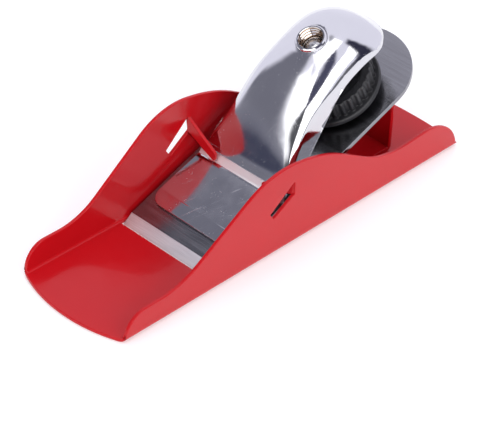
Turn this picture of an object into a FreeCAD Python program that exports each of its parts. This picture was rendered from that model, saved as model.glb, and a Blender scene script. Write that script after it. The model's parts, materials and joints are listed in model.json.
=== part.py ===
import FreeCAD, Part
import Sketcher
import math
import os

# Block plane with a pressed-steel body, a bevel-up cutter and a lever cap that a
# thumbwheel clamps. Millimetres, +Z up, toe at -X, heel at +X, origin in the middle
# of the sole. "Along" is measured from the corners of the toe; the cutter and the
# lever cap are drawn in the bed frame: s along the cutter, lift square to it.

Vector = FreeCAD.Vector
Z_UP = Vector(0, 0, 1)
Y_ACROSS = Vector(0, 1, 0)

DIMENSIONS = [
    ("body_length", 160.0, "toe to heel over the curved ends"),
    ("toe_bulge", 4.8, "how far the toe edge curves out"),
    ("heel_bulge", 1.6, "how far the heel edge curves out"),
    ("base_half_width", 22.0, "half the outer width at the sole"),
    ("wall_flare", 3.26, "outward lean of each side wall, degrees"),
    ("sheet", 1.2, "thickness of the pressed steel"),
    ("bend_radius", 2.2, "outer radius of the sole-to-wall bends"),
    ("toe_wall", 9.6, "wall height behind the toe"),
    ("hump_height", 35.2, "wall height at the corner over the hump's front slope"),
    ("hump_along", 57.9, "where that corner lies, along"),
    ("heel_dip", 13.2, "wall height in the dip ahead of the heel"),
    ("heel_wall", 16.2, "wall height at the heel's corner, before rounding"),
    ("heel_radius", 18.8, "radius of the heel's corner"),
    ("mouth_front", 38.7, "front edge of the mouth, along"),
    ("mouth_rear", 42.9, "rear edge of the mouth, along"),
    ("mouth_half_width", 20.4, "half the width of the mouth"),
    ("bed_angle", 21.13, "bed angle, degrees"),
    ("bed_along", 39.64, "where the bed plane meets the sole, along"),
    ("edge_height", 0.03, "height of the cutting edge above the sole"),
    ("cutter_length", 106.8, "edge to round end"),
    ("cutter_half_width", 20.0, "half the cutter width and its end radius"),
    ("cutter_thick", 1.6, "cutter thickness"),
    ("bevel_width", 4.3, "width of the ground bevel"),
    ("edge_land", 0.06, "thickness left at the cutting edge"),
    ("tab_front", 68.9, "front face of the hold-down tabs, along"),
    ("tab_reach", 10.0, "distance from the middle to a tab's tip"),
    ("tab_root_top", 26.4, "upper corner of a tab at the wall"),
    ("tab_root_bottom", 21.1, "lower corner of a tab at the wall"),
    ("tab_tip_top", 18.6, "upper corner of a tab's tip"),
    ("tab_tip_bottom", 15.42, "lower corner of a tab's tip"),
    ("rest_along", 133.5, "rear face of the blade rest, along"),
    ("rest_sheet", 1.5, "thickness of the blade rest"),
    ("rest_half_width", 9.9, "half the width of the blade rest at its foot"),
    ("rest_top_half_width", 8.7, "half the width of the blade rest at the cutter"),
    ("rest_gap", 0.1, "gap between the blade rest and the cutter"),
    ("rest_foot", 15.5, "length of the blade rest's foot"),
    ("rest_bed", 10.5, "length of the blade rest's sloped top"),
    ("cap_front", 10.8, "front lip of the lever cap, s"),
    ("cap_half_width", 18.1, "half width of the lever cap's plate"),
    ("step_half_width", 17.6, "half width of the lever cap at its step"),
    ("step_at", 35.8, "top edge of the step, s"),
    ("step_lift", 5.0, "lift of the step's top edge"),
    ("step_run", 2.2, "length of the step's sloping face, along s"),
    ("plate_lift", 3.1, "lift of the plate's top face"),
    ("fold_radius", 1.5, "outer radius of the fold between the hood and its skirts"),
    ("cap_end_radius", 14.2, "plan radius of the lever cap's rear end"),
    ("cap_end_centre", 84.8, "centre of that radius, s"),
    ("stud_at", 77.7, "where the stud's axis meets the cutter, s"),
    ("stud_lean", 7.07, "lean of the stud from square to the cutter, degrees"),
    ("stud_radius", 3.7, "radius of the stud over its thread"),
    ("thread_pitch", 1.25, "thread pitch"),
    ("thread_depth", 0.45, "thread depth"),
    ("stud_threads", 9, "thread crests above the thumbwheel"),
    ("stud_end", 25.4, "height of the stud's domed end"),
    ("head_radius", 4.6, "radius of the stud's head"),
    ("head_gap", 0.1, "gap under the stud's head"),
    ("head_top", 2.45, "top of the stud's head"),
    ("running_gap", 0.08, "radial clearance of the stud in the bush and the wheel"),
    ("bush_radius", 5.1, "outer radius of the bush"),
    ("bush_bottom", 20.6, "lower face of the bush"),
    ("bush_top", 28.35, "upper face of the bush"),
    ("bush_threads", 5, "thread grooves in the bush"),
    ("wheel_bottom", 2.6, "lower face of the thumbwheel"),
    ("wheel_flange_radius", 16.8, "radius of the thumbwheel's flange"),
    ("wheel_flange_top", 4.7, "top of the flange"),
    ("wheel_radius", 15.2, "radius over the ribs"),
    ("wheel_top", 10.4, "top of the ribbed band"),
    ("hub_radius", 7.0, "radius of the hub"),
    ("hub_top", 12.6, "top of the hub"),
    ("flute_radius", 0.95, "radius of a flute"),
    ("flutes", 32, "flutes round the thumbwheel"),
]

doc = FreeCAD.newDocument("block_plane")
sheet = doc.addObject("Spreadsheet::Sheet", "dims")
for row, (alias, value, note) in enumerate(DIMENSIONS, start=1):
    sheet.set(f"A{row}", note)
    sheet.set(f"B{row}", str(value))
    sheet.setAlias(f"B{row}", alias)
doc.recompute()


class Size:
    """A value together with the sheet formula that gives it."""

    def __init__(self, value, formula):
        self.value = value
        self.formula = formula

    @staticmethod
    def of(item):
        return item if isinstance(item, Size) else Size(item, repr(item))

    def join(self, other, sign, value):
        return Size(value, f"({self.formula} {sign} {Size.of(other).formula})")

    def __add__(self, other):
        return self.join(other, "+", self.value + Size.of(other).value)

    def __sub__(self, other):
        return self.join(other, "-", self.value - Size.of(other).value)

    def __mul__(self, other):
        return self.join(other, "*", self.value * Size.of(other).value)

    def __neg__(self):
        return Size(-self.value, f"(-1 * {self.formula})")


def size(alias):
    return Size(float(sheet.get(alias)), f"dims.{alias}")


def number(alias):
    return float(sheet.get(alias))


# ---------------------------------------------------------------- frames and outlines
TOE_CORNER = -number("body_length") / 2 + number("toe_bulge")
HEEL_CORNER = number("body_length") / 2 - number("heel_bulge")
BED_ANGLE = math.radians(number("bed_angle"))
BED_ROTATION = FreeCAD.Rotation(Y_ACROSS, -number("bed_angle"))
BED_ORIGIN = Vector(TOE_CORNER + number("bed_along"), 0, number("edge_height"))
BED_FRAME = FreeCAD.Placement(BED_ORIGIN, BED_ROTATION)
STUD_FOOT = BED_FRAME.multVec(Vector(number("stud_at"), 0, number("cutter_thick")))
STUD_ROTATION = FreeCAD.Rotation(Y_ACROSS, -number("bed_angle") - number("stud_lean"))
STUD_FRAME = FreeCAD.Placement(STUD_FOOT, STUD_ROTATION)


def in_section(u, v):
    return Vector(0, u, v)


def beside_body(u, v):
    return Vector(TOE_CORNER + u, 0, v)


def beside_bed(u, v):
    return BED_FRAME.multVec(Vector(u, 0, v))


def over_bed(u, v):
    return BED_FRAME.multVec(Vector(u, v, 0))


def rounded_wire(corners, to_space):
    """Closed wire whose corners (u, v, radius) are rounded by tangent arcs."""
    turns = []
    for index, (u, v, radius) in enumerate(corners):
        here = Vector(u, v, 0)
        before = Vector(corners[index - 1][0], corners[index - 1][1], 0) - here
        following = corners[(index + 1) % len(corners)]
        after = Vector(following[0], following[1], 0) - here
        half_turn = before.getAngle(after) / 2
        before.normalize()
        after.normalize()
        reach = radius / math.tan(half_turn) if radius else 0.0
        middle = here
        if radius:
            inward = (before + after).normalize()
            middle = here + inward * (radius / math.sin(half_turn) - radius)
        turns.append((here + before * reach, middle, here + after * reach, radius))
    edges = []
    for index, (start, middle, end, radius) in enumerate(turns):
        last = turns[index - 1][2]
        if (start - last).Length > 1e-6:
            edges.append(Part.makeLine(to_space(last.x, last.y), to_space(start.x, start.y)))
        if radius:
            arc = Part.Arc(*[to_space(point.x, point.y) for point in (start, middle, end)])
            edges.append(arc.toShape())
    return Part.Wire(edges)


def outline(name, wire):
    face = doc.addObject("Part::Feature", name)
    face.Shape = Part.Face(wire)
    return face


def extrusion(name, base, direction, length_formula, symmetric=True):
    solid = doc.addObject("Part::Extrusion", name)
    solid.Base = base
    solid.DirMode = "Custom"
    solid.Dir = direction
    solid.Solid = True
    solid.Symmetric = symmetric
    solid.setExpression("LengthFwd", length_formula)
    return solid


def combine(kind, name, shapes):
    result = doc.addObject(kind, name)
    result.Shapes = shapes
    return result


def cut(name, base, tool):
    result = doc.addObject("Part::Cut", name)
    result.Base = base
    result.Tool = tool
    return result


# ---------------------------------------------------------------- part-design helpers
def origin_feature(body, role):
    return next(item for item in body.Origin.OriginFeatures if item.Role == role)


def new_sketch(body, name, role, lift=None):
    sketch = body.newObject("Sketcher::SketchObject", name)
    sketch.AttachmentSupport = [(origin_feature(body, role), "")]
    sketch.MapMode = "FlatFace"
    if lift is not None:
        sketch.AttachmentOffset = FreeCAD.Placement(Vector(0, 0, lift.value), FreeCAD.Rotation())
        sketch.setExpression("AttachmentOffset.Base.z", lift.formula)
    return sketch


def bind_point(sketch, geometry, end, x, y):
    """Hold one point of a sketch at two sheet formulas."""
    for kind, axis, item in (("DistanceX", -2, x), ("DistanceY", -1, y)):
        if item.value == 0:
            sketch.addConstraint(Sketcher.Constraint("PointOnObject", geometry, end, axis))
        else:
            index = sketch.addConstraint(Sketcher.Constraint(kind, -1, 1, geometry, end, item.value))
            sketch.setExpression(f"Constraints[{index}]", item.formula)


def bound_polygon(body, name, role, corners):
    """Closed sketch of straight lines whose corners follow the sheet."""
    sketch = new_sketch(body, name, role)
    corners = [(Size.of(x), Size.of(y)) for x, y in corners]
    points = [Vector(x.value, y.value, 0) for x, y in corners]
    for start, end in zip(points, points[1:] + points[:1]):
        sketch.addGeometry(Part.LineSegment(start, end))
    for index, (x, y) in enumerate(corners):
        following = (index + 1) % len(corners)
        sketch.addConstraint(Sketcher.Constraint("Coincident", index, 2, following, 1))
        bind_point(sketch, index, 1, x, y)
    return sketch


def bound_circle(body, name, role, x, y, radius, lift=None):
    sketch = new_sketch(body, name, role, lift)
    sketch.addGeometry(Part.Circle(Vector(x.value, y.value, 0), Z_UP, radius.value))
    bind_point(sketch, 0, 3, x, y)
    index = sketch.addConstraint(Sketcher.Constraint("Radius", 0, radius.value))
    sketch.setExpression(f"Constraints[{index}]", radius.formula)
    return sketch


def pad(body, name, sketch, length, midplane=False):
    feature = body.newObject("PartDesign::Pad", name)
    feature.Profile = sketch
    feature.Midplane = midplane
    feature.setExpression("Length", length.formula)
    return feature


def turned(body, kind, name, sketch):
    feature = body.newObject(kind, name)
    feature.Profile = sketch
    feature.ReferenceAxis = (sketch, ["V_Axis"])
    feature.Angle = 360
    return feature


def repeat_up(body, name, original, count, pitch):
    pattern = body.newObject("PartDesign::LinearPattern", name)
    pattern.Originals = [original]
    pattern.Direction = (origin_feature(body, "Z_Axis"), [""])
    pattern.setExpression("Occurrences", count.formula)
    pattern.setExpression("Length", ((count - 1) * pitch).formula)
    body.Tip = pattern
    return pattern


def new_body(label, placement):
    body = doc.addObject("PartDesign::Body", label)
    body.Placement = placement
    return body


# ---------------------------------------------------------------- the plane's body
def wall_foot(height):
    """Half the outer width of the channel at a height."""
    return number("base_half_width") + height * math.tan(math.radians(number("wall_flare")))


def channel_outline():
    """Cross-section of the bent sheet: a flat sole and two leaning walls."""
    top = number("hump_height") + 2
    thick = number("sheet")
    side = thick / math.cos(math.radians(number("wall_flare")))
    outer_bend = number("bend_radius")
    inner_bend = outer_bend - thick
    half = number("base_half_width")
    return rounded_wire(
        [
            (-half, 0, outer_bend),
            (half, 0, outer_bend),
            (wall_foot(top), top, 0),
            (wall_foot(top) - side, top, 0),
            (wall_foot(thick) - side, thick, inner_bend),
            (side - wall_foot(thick), thick, inner_bend),
            (side - wall_foot(top), top, 0),
            (-wall_foot(top), top, 0),
        ],
        in_section,
    )


def wall_outline():
    """Side view of the walls: low toe, hump over the cutter, rounded heel."""
    end = HEEL_CORNER - TOE_CORNER
    below = -number("heel_radius") / 3
    return rounded_wire(
        [
            (0, below, 0),
            (0, number("toe_wall"), 8.0),
            (22.3, number("toe_wall"), 26.0),
            (number("hump_along"), number("hump_height"), 28.0),
            (82.5, 31.0, 60.0),
            (113.9, number("heel_dip"), 38.0),
            (end, number("heel_wall"), number("heel_radius")),
            (end, below, 0),
        ],
        beside_body,
    )


def plan_outline():
    """Plan view: both ends curve out between straight sides."""
    half = number("base_half_width")
    side = half + 8.0
    corners = []
    for corner_x, bulge, sign in (
        (TOE_CORNER, number("toe_bulge"), -1),
        (HEEL_CORNER, number("heel_bulge"), 1),
    ):
        radius = (half**2 + bulge**2) / (2 * bulge)
        centre_x = corner_x + sign * (bulge - radius)
        side_x = centre_x + sign * math.sqrt(radius**2 - side**2)
        corners.append((side_x, corner_x + sign * bulge))
    (toe_side, toe_tip), (heel_side, heel_tip) = corners
    toe = Part.Arc(Vector(toe_side, -side, 0), Vector(toe_tip, 0, 0), Vector(toe_side, side, 0))
    heel = Part.Arc(Vector(heel_side, -side, 0), Vector(heel_tip, 0, 0), Vector(heel_side, side, 0))
    sides = [
        Part.makeLine(Vector(toe_side, across, 0), Vector(heel_side, across, 0)) for across in (-side, side)
    ]
    return Part.Wire(Part.__sortEdges__([toe.toShape(), heel.toShape()] + sides))


def hold_down_tabs():
    """Two flaps folded in from the side walls, which the lever cap hooks under."""
    tabs = []
    reach = number("tab_reach")
    front = TOE_CORNER + number("tab_front")
    root_top = number("tab_root_top")
    root_bottom = number("tab_root_bottom")
    into_wall = number("sheet") / 2
    for side, sign in (("near", -1), ("far", 1)):
        corners = [
            (sign * (wall_foot(root_top) - into_wall), root_top, 0),
            (sign * reach, number("tab_tip_top"), 0.8),
            (sign * reach, number("tab_tip_bottom"), 0.6),
            (sign * (wall_foot(root_bottom) - into_wall), root_bottom, 0),
        ]
        wire = rounded_wire(corners, in_section)
        wire.translate(Vector(front, 0, 0))
        face = outline(f"{side}_tab_outline", wire)
        tabs.append(extrusion(f"{side}_tab", face, Vector(1, 0, 0), "dims.sheet", symmetric=False))
    return tabs


def make_body():
    channel_face = outline("channel_outline", channel_outline())
    wall_face = outline("wall_outline", wall_outline())
    plan_face = outline("plan_outline", plan_outline())
    for face, start in ((channel_face, Vector(0, 0, 0)), (plan_face, Vector(0, 0, -1))):
        face.Placement = FreeCAD.Placement(start, FreeCAD.Rotation())
    wall_blank = extrusion("wall_blank", wall_face, Y_ACROSS, "4 * dims.base_half_width")
    sole_blank = doc.addObject("Part::Box", "sole_blank")
    sole_blank.setExpression("Length", "dims.body_length + 20")
    sole_blank.setExpression("Width", "4 * dims.base_half_width")
    sole_blank.setExpression("Height", "dims.sheet + 1.1")
    sole_start = Vector(-number("body_length") / 2 - 10, -2 * number("base_half_width"), -1)
    sole_blank.Placement.Base = sole_start
    blanks = [
        extrusion("channel", channel_face, Vector(1, 0, 0), "dims.body_length + 20"),
        combine("Part::MultiFuse", "side_blank", [wall_blank, sole_blank]),
        extrusion("plan_blank", plan_face, Z_UP, "dims.hump_height + 10", symmetric=False),
    ]
    shell = combine("Part::MultiCommon", "pressed_shell", blanks)
    mouth = doc.addObject("Part::Box", "mouth")
    mouth.setExpression("Length", "dims.mouth_rear - dims.mouth_front")
    mouth.setExpression("Width", "2 * dims.mouth_half_width")
    mouth.setExpression("Height", "3 * dims.sheet")
    mouth.Placement.Base = Vector(TOE_CORNER + number("mouth_front"), -number("mouth_half_width"), -1)
    rear = number("tab_front")
    window_corners = [
        (59.3, 18.0, 0.4),
        (rear, number("tab_root_top"), 0.4),
        (rear + 0.7, number("tab_root_bottom"), 0.4),
        (61.2, 15.5, 0.4),
    ]
    window_face = outline("window_outline", rounded_wire(window_corners, beside_body))
    windows = extrusion("windows", window_face, Y_ACROSS, "4 * dims.base_half_width")
    openings = combine("Part::MultiFuse", "mouth_and_windows", [mouth, windows])
    opened = cut("opened_shell", shell, openings)
    return combine("Part::MultiFuse", "body", [opened] + hold_down_tabs())


# ---------------------------------------------------------------- blade rest
def make_blade_rest():
    """Bracket on the sole whose sloped top carries the rear of the cutter."""
    thick = number("rest_sheet")
    floor = number("sheet")
    rear = number("rest_along")
    bed_front = rear - number("rest_bed")
    slope = math.tan(BED_ANGLE)
    under = number("rest_gap") / math.cos(BED_ANGLE)
    drop = thick / math.cos(BED_ANGLE)
    inner_bend = 0.3
    outer_bend = inner_bend + thick

    def bed_height(along):
        return (along - number("bed_along")) * slope + number("edge_height") - under

    corners = [
        (rear - number("rest_foot"), floor, 0),
        (rear, floor, outer_bend),
        (rear, bed_height(rear), outer_bend),
        (bed_front, bed_height(bed_front), 0),
        (bed_front, bed_height(bed_front) - drop, 0),
        (rear - thick, bed_height(rear - thick) - drop, inner_bend),
        (rear - thick, floor + thick, inner_bend),
        (rear - number("rest_foot"), floor + thick, 0),
    ]
    face = outline("rest_outline", rounded_wire(corners, beside_body))
    strip = extrusion("rest_strip", face, Y_ACROSS, "3 * dims.rest_half_width")
    foot_half = number("rest_half_width")
    top_half = number("rest_top_half_width")
    top = bed_height(rear) + 1
    front_corners = [(-foot_half, 0, 0), (foot_half, 0, 0), (top_half, top, 0), (-top_half, top, 0)]
    front_face = outline("rest_front_outline", rounded_wire(front_corners, in_section))
    front = extrusion("rest_front_blank", front_face, Vector(1, 0, 0), "dims.body_length + 20")
    return combine("Part::MultiCommon", "blade_rest", [strip, front])


# ---------------------------------------------------------------- cutter
def make_cutter():
    """Flat blade with a half-round rear end and a bevel ground on its top face."""
    body = new_body("cutter", BED_FRAME)
    half = size("cutter_half_width")
    thick = size("cutter_thick")
    centre = size("cutter_length") - half
    flank = bound_polygon(
        body,
        "cutter_side",
        "XZ_Plane",
        [
            (0, 0),
            (centre, 0),
            (centre, thick),
            (size("bevel_width"), thick),
            (0, size("edge_land")),
        ],
    )
    pad(body, "blade", flank, half * 2, midplane=True)
    end = bound_circle(body, "cutter_end", "XY_Plane", centre, Size(0, "0"), half)
    pad(body, "round_end", end, thick)
    return body


# ---------------------------------------------------------------- lever cap
# Stations of the hood: s, half width, lift of the crown, slope where the crown arc
# meets the shoulder arc, radius of the shoulder arc, slope where it meets the fold.
HOOD_STATIONS = [
    (35.8, 17.6, 5.0, 1, 1.6, 50),
    (41.5, 16.2, 10.0, 3, 3.5, 50),
    (47.0, 14.9, 15.1, 7, 6.5, 50),
    (53.0, 14.1, 20.0, 10, 8.0, 50),
    (61.0, 14.1, 25.1, 16, 9.0, 58),
    (70.0, 14.1, 28.5, 30, 10.0, 68),
    (78.0, 14.1, 29.9, 40, 10.0, 75),
    (86.0, 14.1, 28.6, 43, 10.0, 75),
    (93.0, 14.1, 24.0, 43, 10.0, 75),
    (101.0, 14.1, 14.2, 43, 10.0, 75),
]
SKIRT_DEPTH = 32.0


def hood_section(station, inset):
    """One closed section: crown arc, shoulder and fold arcs on each side, straight skirts."""
    at, half, crown, crown_slope, shoulder, shoulder_slope = station
    slopes = [0, math.radians(crown_slope), math.radians(shoulder_slope), math.pi / 2]
    fold = number("fold_radius")
    shoulder_width = shoulder * (math.sin(slopes[2]) - math.sin(slopes[1]))
    fold_width = fold * (1 - math.sin(slopes[2]))
    crown_arc = (half - shoulder_width - fold_width) / math.sin(slopes[1])
    across, lift = 0.0, crown - inset
    points = [(across, lift)]
    for radius, start, end in zip((crown_arc, shoulder, fold), slopes, slopes[1:]):
        radius -= inset
        for turn in ((start + end) / 2, end):
            points.append((
                across + radius * (math.sin(turn) - math.sin(start)),
                lift + radius * (math.cos(turn) - math.cos(start)),
            ))
        across, lift = points[-1]

    def place(y, off):
        return BED_FRAME.multVec(Vector(at, y, off))

    far = [place(y, off) for y, off in points]
    near = [place(-y, off) for y, off in points]
    skirt_ends = [place(-across, crown - SKIRT_DEPTH), place(across, crown - SKIRT_DEPTH)]
    return Part.Wire([
        Part.makeLine(skirt_ends[0], near[6]),
        Part.Arc(near[6], near[5], near[4]).toShape(),
        Part.Arc(near[4], near[3], near[2]).toShape(),
        Part.Arc(near[2], near[0], far[2]).toShape(),
        Part.Arc(far[2], far[3], far[4]).toShape(),
        Part.Arc(far[4], far[5], far[6]).toShape(),
        Part.makeLine(far[6], skirt_ends[1]),
        Part.makeLine(skirt_ends[1], skirt_ends[0]),
    ])


def hood_loft(name, inset):
    """Solid through all the hood's sections, drawn in by the inset."""
    sections = []
    for index, station in enumerate(HOOD_STATIONS):
        section = doc.addObject("Part::Feature", f"{name}_section_{index}")
        section.Shape = hood_section(station, inset)
        sections.append(section)
    loft = doc.addObject("Part::Loft", name)
    loft.Sections = sections
    loft.Solid = True
    loft.Ruled = False
    return loft


def cap_plate():
    """Front plate: lip on the cutter, flat, then the step with a tongue in the hood's sheet."""
    step = number("step_at")
    lift = number("step_lift")
    run = number("step_run")
    top = number("plate_lift")
    thick = number("sheet")
    front = number("cap_front")
    half = number("cap_half_width")
    step_half = number("step_half_width")
    ramp = math.atan2(HOOD_STATIONS[1][2] - lift, HOOD_STATIONS[1][0] - step)
    along_ramp = Vector(math.cos(ramp), math.sin(ramp), 0)
    under_ramp = Vector(math.sin(ramp), -math.cos(ramp), 0)
    cover = 0.3
    step_edge = Vector(step, lift, 0)
    tongue_top = step_edge + along_ramp * 1.5 + under_ramp * cover
    tongue_under = step_edge + along_ramp * 1.5 + under_ramp * (thick - cover)
    corners = [
        (front, 1.75, 0.2),
        (front, 2.8, 0.4),
        (front + 5.0, top, 4.0),
        (step - run, top, 2.0),
        (step, lift, 0),
        (step, lift - cover / math.cos(ramp), 0),
        (tongue_top.x, tongue_top.y, 0),
        (tongue_under.x, tongue_under.y, 0),
        (step + 0.45, lift - 0.9, 0),
        (step - run + 0.5, top - thick, 0.8),
        (front + 5.2, top - thick, 4.0),
    ]
    strip_face = outline("plate_outline", rounded_wire(corners, beside_bed))
    strip = extrusion("plate_strip", strip_face, Y_ACROSS, "3 * dims.cap_half_width")
    plan_corners = [
        (front, -half, 4.5),
        (front, half, 4.5),
        (step, step_half, 0),
        (step, step_half - 0.5, 0),
        (step + 3.4, step_half - 1.5, 0),
        (step + 3.4, 1.5 - step_half, 0),
        (step, 0.5 - step_half, 0),
        (step, -step_half, 0),
    ]
    plan_face = outline("plate_plan", rounded_wire(plan_corners, over_bed))
    square_to_bed = BED_ROTATION.multVec(Z_UP)
    plan = extrusion("plate_plan_blank", plan_face, square_to_bed, "20")
    return combine("Part::MultiCommon", "cap_plate", [strip, plan])


def skirt_blank():
    """What lies above the skirts' lower edge, seen from the side."""
    corners = [
        (34.0, 2.1, 0),
        (51.2, 3.5, 9.0),
        (70.5, 17.9, 22.0),
        (86.0, 19.2, 30.0),
        (104.0, 12.0, 0),
        (104.0, 40.0, 0),
        (34.0, 40.0, 0),
    ]
    face = outline("skirt_outline", rounded_wire(corners, beside_bed))
    return extrusion("skirt_blank", face, Y_ACROSS, "3 * dims.cap_half_width")


def cap_end_blank():
    """Plan of the hood with its half-round rear end."""
    radius = number("cap_end_radius")
    centre = number("cap_end_centre")
    wide = number("cap_half_width") + 3
    corners = [
        (30.0, -wide, 0),
        (50.0, -wide, 0),
        (centre - 6, -radius, 0),
        (centre + radius, -radius, radius),
        (centre + radius, radius, radius),
        (centre - 6, radius, 0),
        (50.0, wide, 0),
        (30.0, wide, 0),
    ]
    face = outline("cap_end_outline", rounded_wire(corners, over_bed))
    return extrusion("cap_end_blank", face, BED_ROTATION.multVec(Z_UP), "120")


def make_lever_cap():
    """Chromed pressing: flat front plate, step, and a domed hood with side skirts."""
    hood = cut("hood_shell", hood_loft("hood_outer", 0.0), hood_loft("hood_inner", number("sheet")))
    trimmed = combine("Part::MultiCommon", "hood", [hood, skirt_blank(), cap_end_blank()])
    pressing = combine("Part::MultiFuse", "pressing", [trimmed, cap_plate()])
    hole = doc.addObject("Part::Cylinder", "bush_hole")
    hole.setExpression("Radius", "dims.bush_radius")
    hole.setExpression("Height", "dims.bush_top")
    hole.Placement = FreeCAD.Placement(STUD_FRAME.multVec(Vector(0, 0, 15)), STUD_ROTATION)
    return cut("lever_cap", pressing, hole)


# ---------------------------------------------------------------- screw parts
def thread_groove(body, name, radius, depth, height, pitch, count):
    """V grooves round a shank (depth inward) or in a bore (depth outward)."""
    sketch = bound_polygon(
        body,
        f"{name}_sketch",
        "XZ_Plane",
        [
            (radius, height - pitch * 0.42),
            (radius + depth, height),
            (radius, height + pitch * 0.42),
        ],
    )
    groove = turned(body, "PartDesign::Groove", name, sketch)
    return repeat_up(body, f"{name}s", groove, count, pitch)


def make_clamp_stud():
    """Steel screw: domed head on the cutter, threaded shank, domed end."""
    body = new_body("clamp_stud", STUD_FRAME)
    radius = size("stud_radius")
    head = size("head_radius")
    top = size("stud_end")
    profile = bound_polygon(
        body,
        "stud_profile",
        "XZ_Plane",
        [
            (0, size("head_gap")),
            (head * 0.55, size("head_gap") + 0.25),
            (head * 0.9, size("head_gap") + 0.85),
            (head, size("head_gap") + 1.4),
            (head, size("head_top")),
            (radius, size("head_top")),
            (radius, top - 1.9),
            (radius * 0.86, top - 1.1),
            (radius * 0.6, top - 0.45),
            (radius * 0.3, top - 0.1),
            (0, top),
        ],
    )
    turned(body, "PartDesign::Revolution", "stud_blank", profile)
    first = size("hub_top") + 1.0
    thread_groove(body, "stud_thread", radius + 0.02, -size("thread_depth"), first,
                  size("thread_pitch"), size("stud_threads"))
    return body


def make_cap_bush():
    """Threaded bush set in the top of the lever cap."""
    body = new_body("cap_bush", STUD_FRAME)
    outer = size("bush_radius")
    bore = size("stud_radius") + size("running_gap")
    bottom = size("bush_bottom")
    top = size("bush_top")
    profile = bound_polygon(
        body,
        "bush_profile",
        "XZ_Plane",
        [
            (bore, bottom),
            (outer, bottom),
            (outer, top - 0.7),
            (outer - 0.2, top - 0.25),
            (outer - 0.6, top),
            (bore + 0.35, top),
            (bore, top - 0.45),
        ],
    )
    turned(body, "PartDesign::Revolution", "bush_blank", profile)
    lowest = top - size("thread_pitch") * size("bush_threads")
    thread_groove(body, "bush_thread", bore - 0.02, size("thread_depth"), lowest,
                  size("thread_pitch"), size("bush_threads"))
    return body


def make_thumbwheel():
    """Moulded wheel: smooth flange below, fluted band above, hub on top."""
    body = new_body("thumbwheel", STUD_FRAME)
    bore = size("stud_radius") + size("running_gap")
    bottom = size("wheel_bottom")
    flange = size("wheel_flange_radius")
    flange_top = size("wheel_flange_top")
    radius = size("wheel_radius")
    top = size("wheel_top")
    hub = size("hub_radius")
    profile = bound_polygon(
        body,
        "wheel_profile",
        "XZ_Plane",
        [
            (bore, bottom),
            (flange - 0.5, bottom),
            (flange, bottom + 0.5),
            (flange, flange_top - 0.5),
            (flange - 0.4, flange_top),
            (radius, flange_top),
            (radius, top - 0.6),
            (radius - 0.6, top),
            (radius - 3.0, top),
            (radius - 3.4, top - 1.2),
            (hub + 0.6, top - 1.2),
            (hub, size("hub_top")),
            (bore, size("hub_top")),
        ],
    )
    turned(body, "PartDesign::Revolution", "wheel_blank", profile)
    flute = bound_circle(body, "flute_circle", "XY_Plane", radius + 0.15, Size(0, "0"),
                         size("flute_radius"), lift=flange_top)
    pocket = body.newObject("PartDesign::Pocket", "flute")
    pocket.Profile = flute
    pocket.Reversed = True
    pocket.setExpression("Length", (top - flange_top + 1).formula)
    ring = body.newObject("PartDesign::PolarPattern", "fluted_band")
    ring.Originals = [pocket]
    ring.Axis = (origin_feature(body, "Z_Axis"), [""])
    ring.Angle = 360
    ring.setExpression("Occurrences", "dims.flutes")
    body.Tip = ring
    return body


parts = {
    "body": make_body(),
    "blade_rest": make_blade_rest(),
    "cutter": make_cutter(),
    "lever_cap": make_lever_cap(),
    "cap_bush": make_cap_bush(),
    "clamp_stud": make_clamp_stud(),
    "thumbwheel": make_thumbwheel(),
}
doc.recompute()

for item in doc.Objects:
    if "Invalid" in item.State or "Error" in item.State:
        raise RuntimeError(f"{item.Name} failed: {item.State}")

os.makedirs("parts", exist_ok=True)
for node, item in parts.items():
    item.Label = node
    shape = item.Shape
    if shape.isNull() or not shape.isValid() or len(shape.Solids) != 1:
        raise RuntimeError(f"{node}: {len(shape.Solids)} solids, valid {shape.isValid()}")
    shape.exportStep(f"parts/{node}.step")
    box = shape.BoundBox
    print(f"{node:12s} volume {shape.Volume:9.1f}  x {box.XMin:7.2f} {box.XMax:7.2f}"
          f"  y {box.YMin:7.2f} {box.YMax:7.2f}  z {box.ZMin:7.2f} {box.ZMax:7.2f}")
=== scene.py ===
import json
import math

import bpy
from mathutils import Matrix, Vector


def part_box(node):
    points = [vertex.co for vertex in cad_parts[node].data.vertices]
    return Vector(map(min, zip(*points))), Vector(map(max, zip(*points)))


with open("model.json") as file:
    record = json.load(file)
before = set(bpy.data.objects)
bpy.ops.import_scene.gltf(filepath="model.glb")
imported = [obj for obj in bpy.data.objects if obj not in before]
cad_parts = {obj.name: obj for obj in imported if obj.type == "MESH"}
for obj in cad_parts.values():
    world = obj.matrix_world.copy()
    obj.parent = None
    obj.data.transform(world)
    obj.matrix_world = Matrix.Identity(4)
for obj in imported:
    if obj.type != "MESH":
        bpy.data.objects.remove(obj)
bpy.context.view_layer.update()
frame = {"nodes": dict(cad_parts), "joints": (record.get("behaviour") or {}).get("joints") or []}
scene = bpy.context.scene


# ------------------------------------------------------------------ camera
LENS = 163.4  # mm, on a 36 mm wide sensor
CAMERA_PLACE = Vector((-0.4259, -0.3662, 0.4137))
CAMERA_AZIMUTH = math.radians(-49.16)
CAMERA_ELEVATION = math.radians(36.74)
CAMERA_ROLL = math.radians(4.63)


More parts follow.
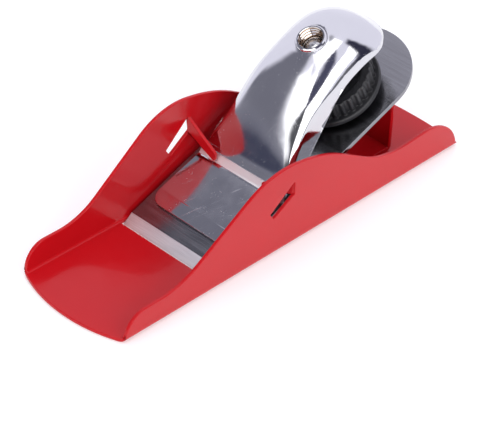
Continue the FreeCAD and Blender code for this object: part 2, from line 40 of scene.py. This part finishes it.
def make_camera():
    data = bpy.data.cameras.new("camera")
    data.lens = LENS
    data.sensor_width = 36.0
    data.clip_start = 0.01
    data.clip_end = 20.0
    camera = bpy.data.objects.new("camera", data)
    back = Vector(
        (
            math.sin(CAMERA_AZIMUTH) * math.cos(CAMERA_ELEVATION),
            -math.cos(CAMERA_AZIMUTH) * math.cos(CAMERA_ELEVATION),
            math.sin(CAMERA_ELEVATION),
        )
    )
    right = Vector((0, 0, 1)).cross(back).normalized()
    up = back.cross(right)
    rolled_right = math.cos(CAMERA_ROLL) * right + math.sin(CAMERA_ROLL) * up
    rolled_up = -math.sin(CAMERA_ROLL) * right + math.cos(CAMERA_ROLL) * up
    turn = Matrix((rolled_right, rolled_up, back)).transposed()
    camera.matrix_world = Matrix.Translation(CAMERA_PLACE) @ turn.to_4x4()
    scene.collection.objects.link(camera)
    scene.camera = camera


# ------------------------------------------------------------------ node short-hand
class Nodes:
    """Builds one node tree, with sockets set by name."""

    def __init__(self, tree):
        self.tree = tree

    def add(self, kind, settings=None, **sockets):
        node = self.tree.nodes.new(kind)
        for name, value in (settings or {}).items():
            setattr(node, name, value)
        for name, value in sockets.items():
            self.feed(node, name.replace("_", " "), value)
        return node

    def feed(self, node, name, value):
        socket = node.inputs[name]
        if isinstance(value, bpy.types.NodeSocket):
            self.tree.links.new(value, socket)
        else:
            socket.default_value = value

    def noise(self, where, scale, detail=4.0, roughness=0.5):
        sockets = {"Scale": scale, "Detail": detail, "Roughness": roughness}
        return self.add("ShaderNodeTexNoise", Vector=where, **sockets).outputs["Fac"]

    def span(self, value, low, high, to_low=0.0, to_high=1.0):
        """Maps a value from one range to another, held at both ends."""
        node = self.add("ShaderNodeMapRange", Value=value)
        node.inputs["From Min"].default_value = low
        node.inputs["From Max"].default_value = high
        node.inputs["To Min"].default_value = to_low
        node.inputs["To Max"].default_value = to_high
        node.interpolation_type = "SMOOTHSTEP"
        return node.outputs["Result"]

    def within(self, value, low, high, soft):
        """1 between low and high, fading to 0 over a width on each side."""
        rise = self.span(value, low - soft / 2, low + soft / 2)
        fall = self.span(value, high - soft / 2, high + soft / 2, 1.0, 0.0)
        return self.math("MULTIPLY", rise, fall)

    def math(self, operation, first, second=0.0):
        node = self.add("ShaderNodeMath", {"operation": operation})
        self.feed(node, 0, first)
        self.feed(node, 1, second)
        return node.outputs["Value"]

    def mix(self, factor, first, second):
        """Blends two colours. A Mix node's colour sockets are inputs 6 and 7, and output 2."""
        node = self.add("ShaderNodeMix", {"data_type": "RGBA"})
        self.feed(node, 0, factor)
        self.feed(node, 6, first)
        self.feed(node, 7, second)
        return node.outputs[2]

    def vector(self, operation, first, second=(0.0, 0.0, 0.0), result="Vector"):
        node = self.add("ShaderNodeVectorMath", {"operation": operation})
        self.feed(node, 0, first)
        self.feed(node, 1, second)
        return node.outputs[result]

    def place(self):
        """The point's own place, in metres."""
        return self.add("ShaderNodeTexCoord").outputs["Object"]

    def stretched(self, scale, turn=(0.0, 0.0, 0.0)):
        """The place turned, then stretched: for grain and scratches."""
        turned = self.add("ShaderNodeMapping", Vector=self.place(), Rotation=turn)
        node = self.add("ShaderNodeMapping", Vector=turned.outputs["Vector"], Scale=scale)
        return node.outputs["Vector"]

    def bump(self, height, distance, strength):
        node = self.add("ShaderNodeBump", Height=height, Distance=distance, Strength=strength)
        return node.outputs["Normal"]


def new_material(name):
    """A material with a Principled shader, and the short-hand for its nodes."""
    material = bpy.data.materials.new(name)
    material.use_nodes = True
    nodes = Nodes(material.node_tree)
    shader = material.node_tree.nodes["Principled BSDF"]
    return material, nodes, shader


# ------------------------------------------------------------------ materials
BUSH_BORE = 0.00378  # radius of the bush's thread
BUSH_RIM = (BUSH_BORE + 0.0001, BUSH_BORE + 0.0003)  # radii over which bronze turns to chrome
# Distances along the cutter's bed, from its front edge.
EDGE_HIGHLIGHT = (0.0002, 0.0004)  # the sharpened edge, and where it ends; painted near-white there as a painted highlight
BEVEL = (0.0043, 0.0045)  # end of the ground bevel, and start of the flat
STEP_HIGHLIGHT_BAND = (0.0335, 0.0358)  # band on the lever cap's step, painted paler and made rougher: a painted highlight
STEP_HIGHLIGHT_SOFT = 0.0004


def joint_named(name):
    return next(joint for joint in frame["joints"] if joint["name"] == name)


def along_cutter(nodes, where):
    """Distance from the cutter's front edge, measured along its bed."""
    front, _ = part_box("cutter")
    from_edge = nodes.vector("SUBTRACT", where, (front[0], 0.0, front[2]))
    return nodes.vector("DOT_PRODUCT", from_edge, joint_named("cutter_slide")["axis"], "Value")


def from_wheel_axis(nodes, where):
    """Distance from the line that the thumbwheel turns on."""
    spin = joint_named("wheel_spin")
    from_point = nodes.vector("SUBTRACT", where, spin["pos_m"])
    sideways = nodes.vector("CROSS_PRODUCT", from_point, spin["axis"])
    return nodes.vector("LENGTH", sideways, result="Value")


def red_enamel():
    """Glossy red enamel with a little orange peel."""
    material, nodes, shader = new_material("red_enamel")
    where = nodes.place()
    cloud = nodes.noise(where, 45.0, 3.0)
    colour = nodes.mix(cloud, (0.485, 0.005, 0.009, 1), (0.54, 0.007, 0.012, 1))
    nodes.feed(shader, "Base Color", colour)
    nodes.feed(shader, "Roughness", nodes.span(nodes.noise(where, 160.0), 0.3, 0.7, 0.16, 0.26))
    peel = nodes.noise(where, 520.0, 2.0)
    nodes.feed(shader, "Normal", nodes.bump(peel, 0.00006, 0.35))
    shader.inputs["Specular IOR Level"].default_value = 0.2
    shader.inputs["Coat Weight"].default_value = 0.13
    shader.inputs["Coat Roughness"].default_value = 0.06
    return material


def chrome_layers(nodes, where):
    """Colour, roughness and normal of bright chrome plate with light haze and dust."""
    haze = nodes.noise(where, 120.0, 5.0)
    colour = nodes.mix(haze, (0.65, 0.65, 0.68, 1), (0.71, 0.71, 0.735, 1))
    patches = nodes.span(nodes.noise(where, 260.0, 2.0), 0.5, 0.68)
    specks = nodes.add("ShaderNodeTexVoronoi", Vector=where, Scale=1500.0).outputs["Distance"]
    specks = nodes.math("MULTIPLY", nodes.span(specks, 0.10, 0.16, 1.0, 0.0), patches)
    scratch_where = nodes.stretched((90.0, 1400.0, 90.0), (0.0, 0.37, 0.5))
    scratches = nodes.span(nodes.noise(scratch_where, 1.0, 2.0), 0.66, 0.74)
    roughness = nodes.span(haze, 0.35, 0.7, 0.07, 0.12)
    roughness = nodes.math("ADD", roughness, nodes.math("MULTIPLY", scratches, 0.10))
    roughness = nodes.math("ADD", roughness, nodes.math("MULTIPLY", specks, 0.45))
    height = nodes.math("ADD", nodes.noise(where, 60.0, 2.0), nodes.math("MULTIPLY", specks, 0.05))
    return colour, roughness, nodes.bump(height, 0.0003, 0.06)


def chrome_plate():
    """The lever cap's chrome, with a band painted paler and made rougher where the pressing steps
    up, as a painted highlight.
    """
    material, nodes, shader = new_material("chrome_plate")
    where = nodes.place()
    colour, roughness, normal = chrome_layers(nodes, where)
    # Painted highlight: the band across the step is painted near-white and made rougher than the
    # chrome round it.
    step_highlight = nodes.within(along_cutter(nodes, where), *STEP_HIGHLIGHT_BAND, STEP_HIGHLIGHT_SOFT)
    nodes.feed(shader, "Base Color", nodes.mix(step_highlight, colour, (0.93, 0.93, 0.95, 1)))
    shader.inputs["Metallic"].default_value = 1.0
    roughness = nodes.math("ADD", roughness, nodes.math("MULTIPLY", step_highlight, 0.45))
    nodes.feed(shader, "Roughness", roughness)
    nodes.feed(shader, "Normal", normal)
    return material


def ground_steel():
    """Cutter steel: fine surface-grinding lines across the width, a paler ground bevel, and a
    painted highlight along the sharpened edge.
    """
    material, nodes, shader = new_material("ground_steel")
    fine = nodes.noise(nodes.stretched((7000.0, 110.0, 7000.0)), 1.0, 3.0, 0.6)
    broad = nodes.noise(nodes.stretched((900.0, 45.0, 900.0)), 1.0, 2.0)
    fine_share = nodes.math("MULTIPLY", fine, 0.65)
    grain = nodes.math("ADD", fine_share, nodes.math("MULTIPLY", broad, 0.35))
    grain = nodes.span(grain, 0.3, 0.7)
    distance = along_cutter(nodes, nodes.place())
    flat = nodes.span(distance, *BEVEL)
    # Painted highlight: the sharpened edge is painted near-white.
    edge_highlight = nodes.span(distance, *EDGE_HIGHLIGHT, 1.0, 0.0)
    bevel_colour = nodes.mix(grain, (0.60, 0.59, 0.61, 1), (0.78, 0.77, 0.79, 1))
    bevel_colour = nodes.mix(edge_highlight, bevel_colour, (0.95, 0.95, 0.95, 1))
    flat_colour = nodes.mix(grain, (0.22, 0.22, 0.235, 1), (0.31, 0.31, 0.33, 1))
    nodes.feed(shader, "Base Color", nodes.mix(flat, bevel_colour, flat_colour))
    shader.inputs["Metallic"].default_value = 1.0
    flat_roughness = nodes.span(grain, 0.0, 1.0, 0.17, 0.25)
    bevel_extra = nodes.span(flat, 0.0, 1.0, 0.30, 0.0)
    nodes.feed(shader, "Roughness", nodes.math("ADD", flat_roughness, bevel_extra))
    nodes.feed(shader, "Normal", nodes.bump(fine, 0.000010, 0.35))
    return material


def moulded_black():
    """Black moulded plastic, slightly speckled."""
    material, nodes, shader = new_material("moulded_black")
    speckle = nodes.noise(nodes.place(), 1400.0, 3.0)
    colour = nodes.mix(speckle, (0.008, 0.008, 0.010, 1), (0.018, 0.018, 0.021, 1))
    nodes.feed(shader, "Base Color", colour)
    nodes.feed(shader, "Roughness", nodes.span(speckle, 0.3, 0.7, 0.30, 0.46))
    nodes.feed(shader, "Normal", nodes.bump(speckle, 0.00004, 0.3))
    return material


def bush_metal():
    """Chromed rim round a bore whose thread is bare bronze."""
    material, nodes, shader = new_material("bush_metal")
    where = nodes.place()
    rim = nodes.span(from_wheel_axis(nodes, where), *BUSH_RIM)
    tarnish = nodes.noise(where, 700.0, 3.0)
    stain = nodes.span(tarnish, 0.35, 0.65)
    bronze = nodes.mix(stain, (0.27, 0.17, 0.11, 1), (0.52, 0.40, 0.31, 1))
    chrome, chrome_roughness, _ = chrome_layers(nodes, where)
    nodes.feed(shader, "Base Color", nodes.mix(rim, bronze, chrome))
    shader.inputs["Metallic"].default_value = 1.0
    bare = nodes.span(tarnish, 0.3, 0.7, 0.16, 0.34)
    bare_share = nodes.math("MULTIPLY", nodes.math("SUBTRACT", 1.0, rim), bare)
    chrome_share = nodes.math("MULTIPLY", rim, chrome_roughness)
    nodes.feed(shader, "Roughness", nodes.math("ADD", bare_share, chrome_share))
    return material


def zinc_steel():
    """Bright zinc plate on the clamp stud."""
    material, nodes, shader = new_material("zinc_steel")
    where = nodes.place()
    mottle = nodes.noise(where, 1100.0, 4.0)
    nodes.feed(shader, "Base Color", nodes.mix(mottle, (0.60, 0.60, 0.60, 1), (0.80, 0.80, 0.80, 1)))
    shader.inputs["Metallic"].default_value = 1.0
    nodes.feed(shader, "Roughness", nodes.span(mottle, 0.3, 0.7, 0.14, 0.26))
    return material


def paint(node, material):
    """Gives a CAD node its material."""
    slots = frame["nodes"][node].data.materials
    slots.clear()
    slots.append(material)


WELD_DISTANCE = 2e-6
SHARP_EDGE = math.radians(38.0)


def round_edges(node, width, segments=3, even_shading=True):
    """Rounds a CAD node's sharp edges by a small bevel."""
    piece = frame["nodes"][node]
    weld = piece.modifiers.new("weld", "WELD")
    weld.merge_threshold = WELD_DISTANCE
    bevel = piece.modifiers.new("round", "BEVEL")
    bevel.width = width
    bevel.segments = segments
    bevel.limit_method = "ANGLE"
    bevel.angle_limit = SHARP_EDGE
    bevel.use_clamp_overlap = False
    bevel.loop_slide = False
    if even_shading:
        smooth = piece.modifiers.new("even_shading", "WEIGHTED_NORMAL")
        smooth.keep_sharp = False
        smooth.weight = 50


# ------------------------------------------------------------------ studio
FLOOR_HALF = 4.0
FLOOR_DROP = 0.0002  # how far the floor lies under the sole


def make_studio():
    mesh = bpy.data.meshes.new("floor")
    half = FLOOR_HALF
    corners = [(-half, -half, 0), (half, -half, 0), (half, half, 0), (-half, half, 0)]
    mesh.from_pydata(corners, [], [(0, 1, 2, 3)])
    floor = bpy.data.objects.new("floor", mesh)
    floor.location.z = -FLOOR_DROP
    scene.collection.objects.link(floor)
    mesh.materials.append(floor_white())
    make_surroundings()


def floor_white():
    """Matt white that glows a little, so that the floor stays white round the object."""
    material, nodes, shader = new_material("floor_white")
    tone = nodes.noise(nodes.place(), 3.0, 2.0)
    colour = nodes.mix(tone, (0.72, 0.72, 0.73, 1), (0.74, 0.74, 0.74, 1))
    nodes.feed(shader, "Base Color", colour)
    shader.inputs["Emission Color"].default_value = (1.0, 1.0, 1.0, 1.0)
    shader.inputs["Emission Strength"].default_value = 0.34
    shader.inputs["Roughness"].default_value = 0.9
    shader.inputs["Specular IOR Level"].default_value = 0.1
    return material


# Softboxes and dark flags round the table: azimuth and elevation ranges in degrees,
# how much the elevations climb per degree of azimuth from the middle of the range,
# how soft the borders are, and the light's colour. Later rows cover earlier ones.
SURROUNDINGS = [
    ((112, 158), (8, 64), 0.0, 14, (0.22, 0.22, 0.27)),
    ((80, 152), (50, 66), 0.0, 8, (0.20, 0.20, 0.25)),
    ((135, 172), (0, 11), 0.0, 8, (0.07, 0.075, 0.12)),
    ((202, 264), (24, 66), 0.25, 11, (0.09, 0.09, 0.15)),
    ((160, 215), (8, 31), 0.22, 6, (0.11, 0.11, 0.12)),
    ((158, 181), (24, 58), 0.6, 10, (2.6, 2.6, 2.6)),
    ((176, 211), (33, 63), 0.3, 6, (2.6, 2.6, 2.6)),
    ((148, 298), (67, 84), 0.0, 3, (2.4, 2.4, 2.4)),
    ((208, 300), (0, 10), 0.0, 4, (0.18, 0.18, 0.20)),
    ((215, 299), (11, 43), 0.22, 3, (2.7, 2.7, 2.7)),
    ((296, 314), (-6, 62), 0.0, 8, (0.04, 0.04, 0.07)),
]
OPEN_ROOM = (1.0, 0.99, 1.12)  # light wherever no row covers it
ZENITH = (0.45, 0.45, 0.50)
ZENITH_EDGE = (82.0, 88.0)  # elevations over which the room's light gives way to the zenith's


def make_surroundings():
    """The world's light, by azimuth and elevation."""
    world = bpy.data.worlds.new("studio")
    scene.world = world
    world.use_nodes = True
    nodes = Nodes(world.node_tree)
    direction = nodes.add("ShaderNodeTexCoord").outputs["Generated"]
    parts = nodes.add("ShaderNodeSeparateXYZ", Vector=direction).outputs
    azimuth = nodes.math("DEGREES", nodes.math("ARCTAN2", parts["Y"], parts["X"]))
    azimuth = nodes.math("FLOORED_MODULO", azimuth, 360.0)
    elevation = nodes.math("DEGREES", nodes.math("ARCSINE", parts["Z"]))
    overhead = nodes.span(elevation, *ZENITH_EDGE)
    colour = nodes.mix(overhead, (*OPEN_ROOM, 1), (*ZENITH, 1))
    for (left, right), (low, high), climb, soft, light in SURROUNDINGS:
        lifted = nodes.math("MULTIPLY", nodes.math("SUBTRACT", azimuth, (left + right) / 2), climb)
        level = nodes.math("SUBTRACT", elevation, lifted)
        across = nodes.within(azimuth, left, right, soft)
        mask = nodes.math("MULTIPLY", across, nodes.within(level, low, high, soft))
        colour = nodes.mix(mask, colour, (*light, 1))
    background = world.node_tree.nodes["Background"]
    nodes.feed(background, "Color", colour)
    background.inputs["Strength"].default_value = 1.0


# ------------------------------------------------------------------ build
make_camera()
make_studio()
red = red_enamel()
paint("body", red)
round_edges("body", 0.00028)
paint("blade_rest", red)
round_edges("blade_rest", 0.00025)
paint("cutter", ground_steel())
round_edges("cutter", 0.00012, segments=2)
paint("lever_cap", chrome_plate())
round_edges("lever_cap", 0.00022, even_shading=False)
paint("cap_bush", bush_metal())
paint("clamp_stud", zinc_steel())
paint("thumbwheel", moulded_black())
round_edges("thumbwheel", 0.00022)
scene.view_settings.view_transform = "Standard"
